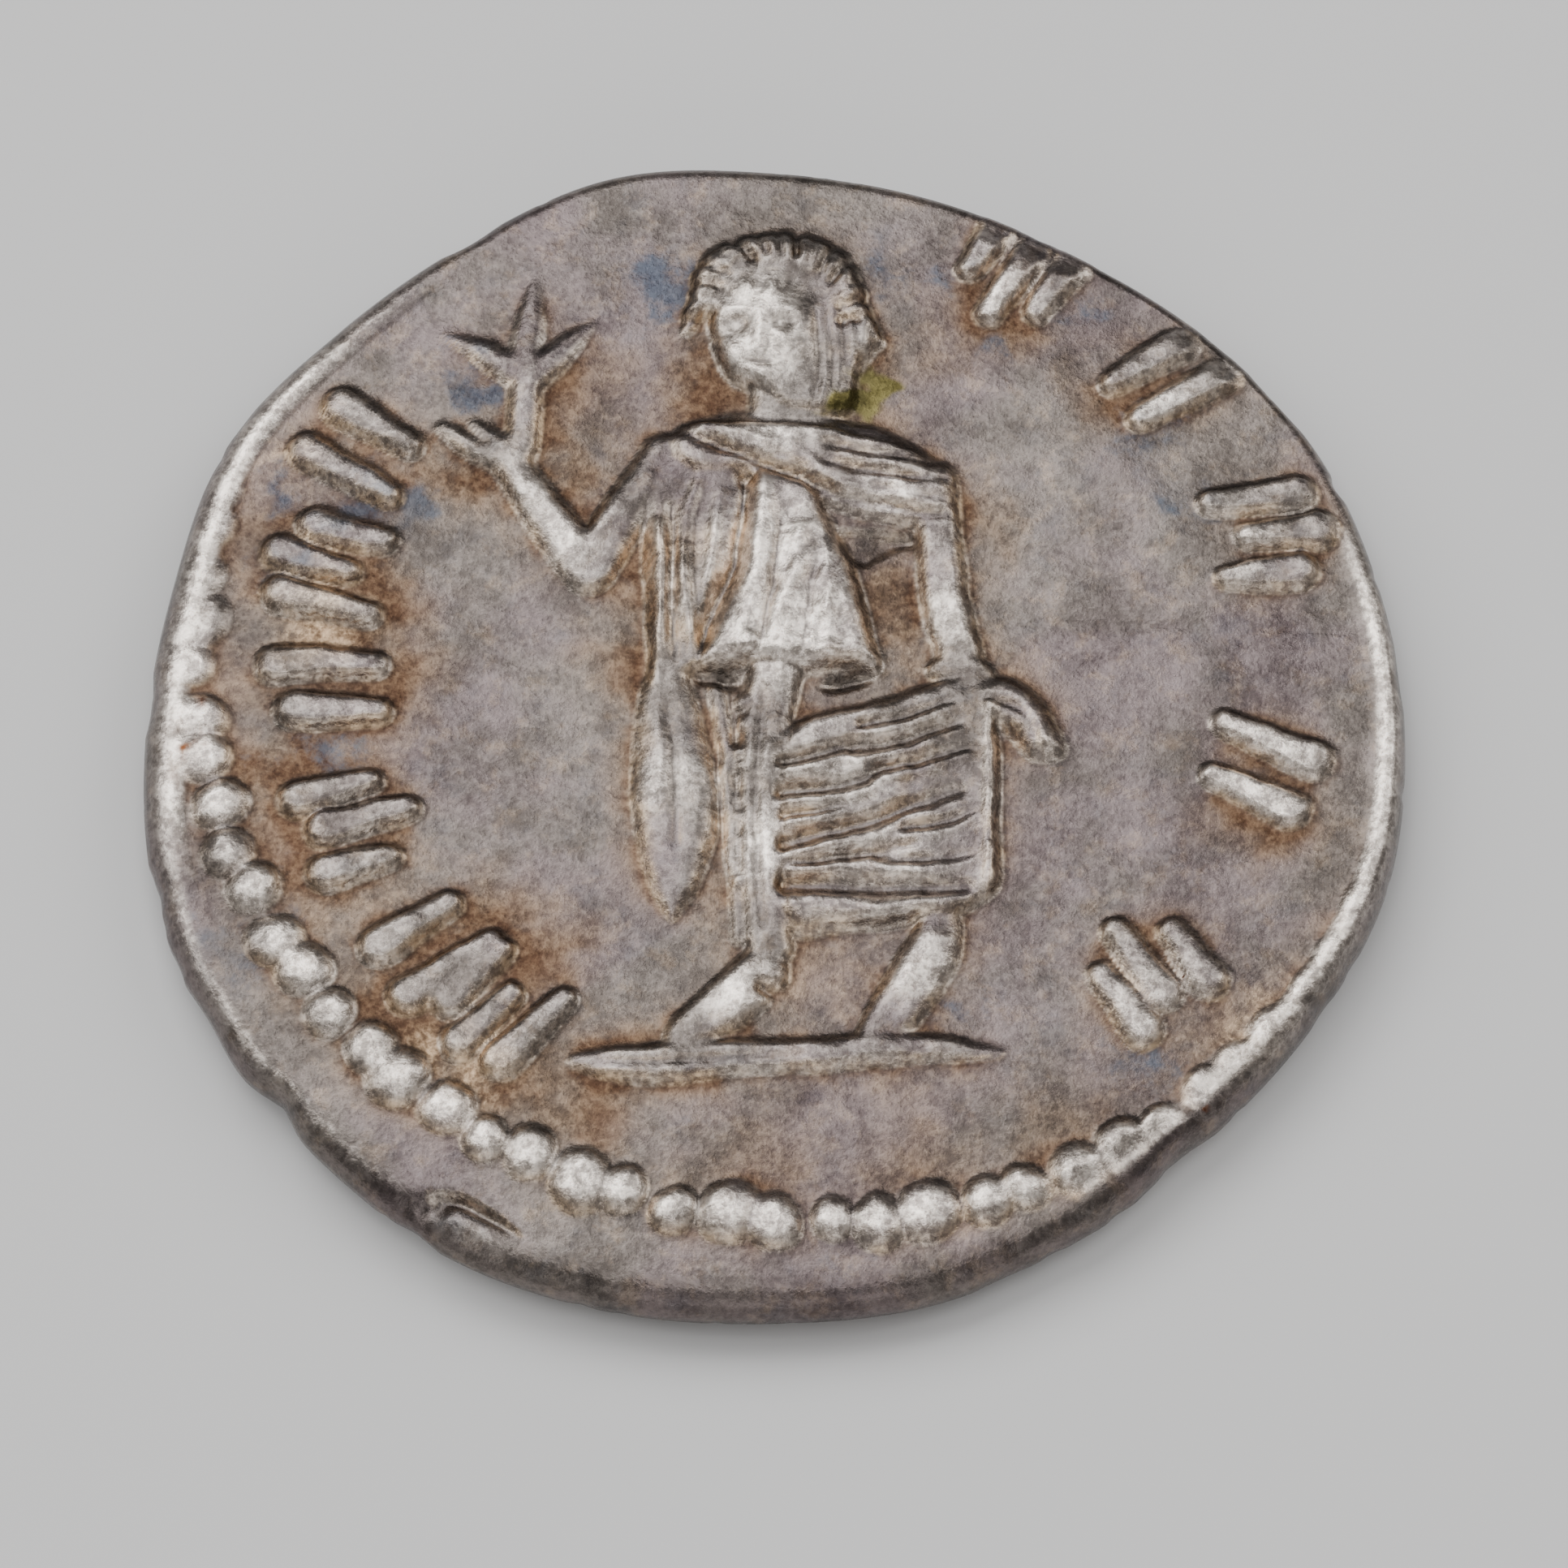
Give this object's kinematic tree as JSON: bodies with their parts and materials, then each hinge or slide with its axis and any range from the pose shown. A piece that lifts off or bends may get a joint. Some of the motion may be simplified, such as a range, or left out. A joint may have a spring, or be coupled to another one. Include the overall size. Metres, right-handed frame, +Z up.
{
  "type": "denarius coin",
  "caption": "Struck silver coin of irregular outline, with a draped standing figure holding a flower inside a beaded border, toned and worn.",
  "frame": {"origin": "on the table under the middle of the coin's outline", "axes": "+Z up through the side with the standing figure, +Y towards the figure's head, +X to the viewer's right"},
  "size_m": [0.0186, 0.0184, 0.0019],
  "materials": {
    "toned_silver": "worn, toned silver"
  },
  "bodies": {
    "root": {"coin": "toned_silver"}
  },
  "joints": []
}
